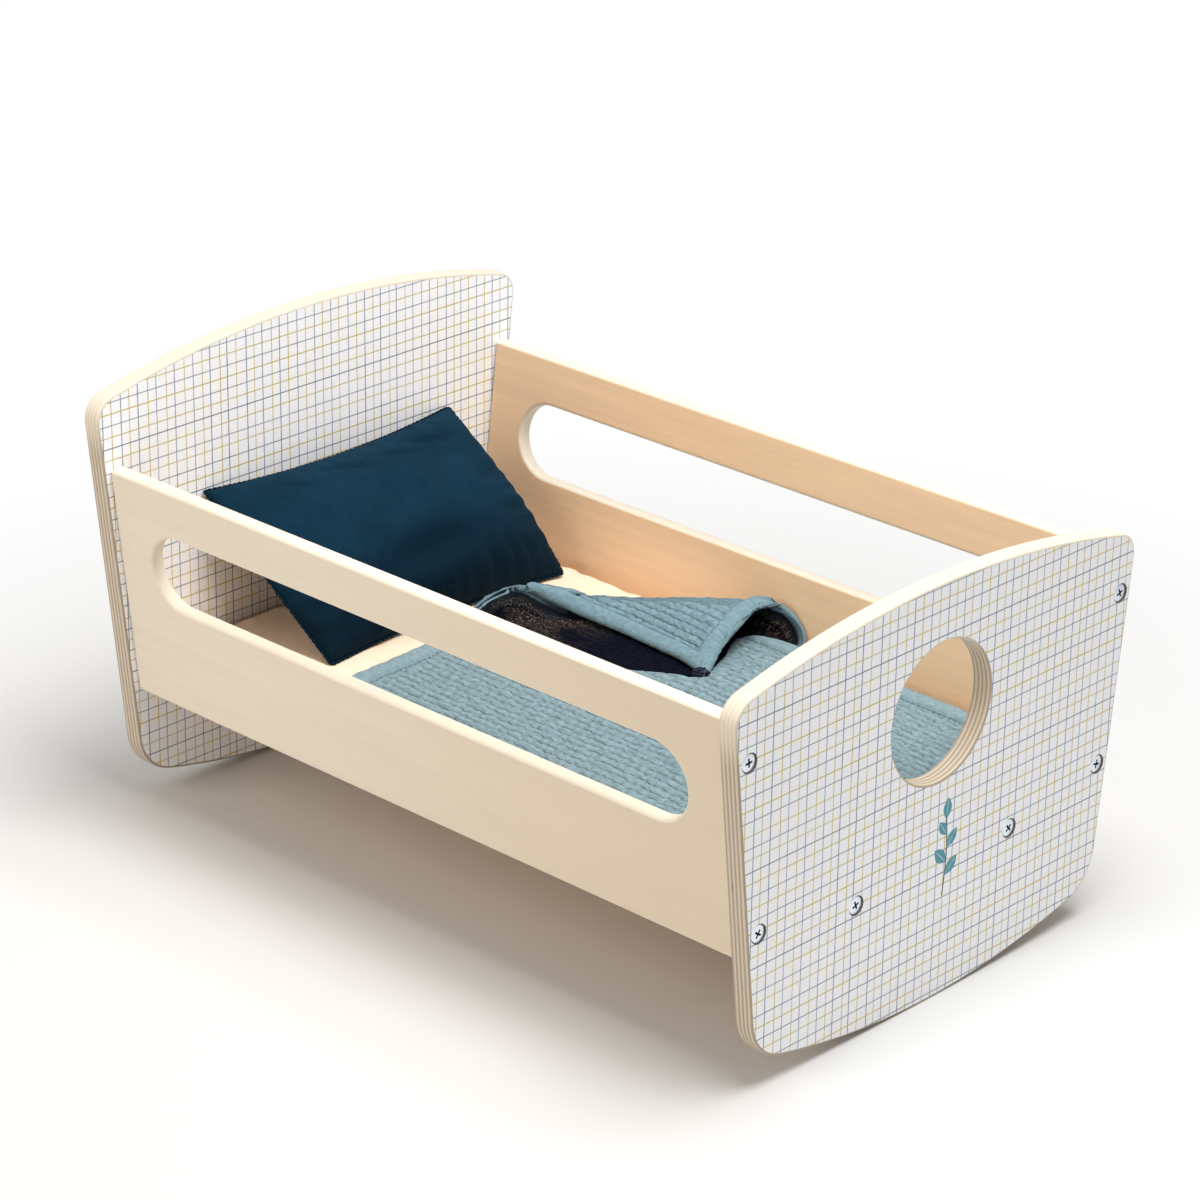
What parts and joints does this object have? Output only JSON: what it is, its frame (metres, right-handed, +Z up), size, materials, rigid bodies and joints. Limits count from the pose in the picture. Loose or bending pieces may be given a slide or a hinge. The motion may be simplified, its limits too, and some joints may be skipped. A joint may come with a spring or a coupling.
{
  "type": "doll's rocking cot",
  "caption": "Wooden doll's cot with tapered end boards that rock on curved lower edges, slotted side panels, a round window, a mattress, a pillow and a blanket.",
  "frame": {"origin": "on the floor under the middle of the cot, level with the lowest line of the curved lower edges", "axes": "+X across the cot to the right seen from the foot, +Y along the cot from the footboard to the headboard, +Z up"},
  "size_m": [0.331, 0.49, 0.276],
  "materials": {
    "printed_plywood": "satin print",
    "bare_plywood": "satin",
    "zinc": "zinc plated",
    "mattress_cotton": "matt",
    "pillow_cotton": "soft sheen",
    "blanket_gauze": "matt crinkled"
  },
  "bodies": {
    "cot_frame": {"headboard": "printed_plywood", "footboard": "printed_plywood", "side_panel_left": "bare_plywood", "side_panel_right": "bare_plywood", "base_board": "bare_plywood", "screw_foot_left_upper": "zinc", "screw_foot_left_lower": "zinc", "screw_foot_left_base": "zinc", "screw_foot_right_upper": "zinc", "screw_foot_right_lower": "zinc", "screw_foot_right_base": "zinc", "screw_head_left_upper": "zinc", "screw_head_left_lower": "zinc", "screw_head_left_base": "zinc", "screw_head_right_upper": "zinc", "screw_head_right_lower": "zinc", "screw_head_right_base": "zinc"},
    "mattress": {"mattress": "mattress_cotton"},
    "pillow": {"pillow": "pillow_cotton"},
    "blanket": {"blanket": "blanket_gauze"}
  },
  "joints": [
    {"name": "mattress_lift", "type": "slide", "parent": "cot_frame", "child": "mattress", "axis": [0, 0, 1], "range_m": [0, 0.25]},
    {"name": "pillow_lift", "type": "slide", "parent": "mattress", "child": "pillow", "axis": [0, 0, 1], "range_m": [0, 0.2]},
    {"name": "blanket_lift", "type": "slide", "parent": "mattress", "child": "blanket", "axis": [0, 0, 1], "range_m": [0, 0.2]}
  ]
}
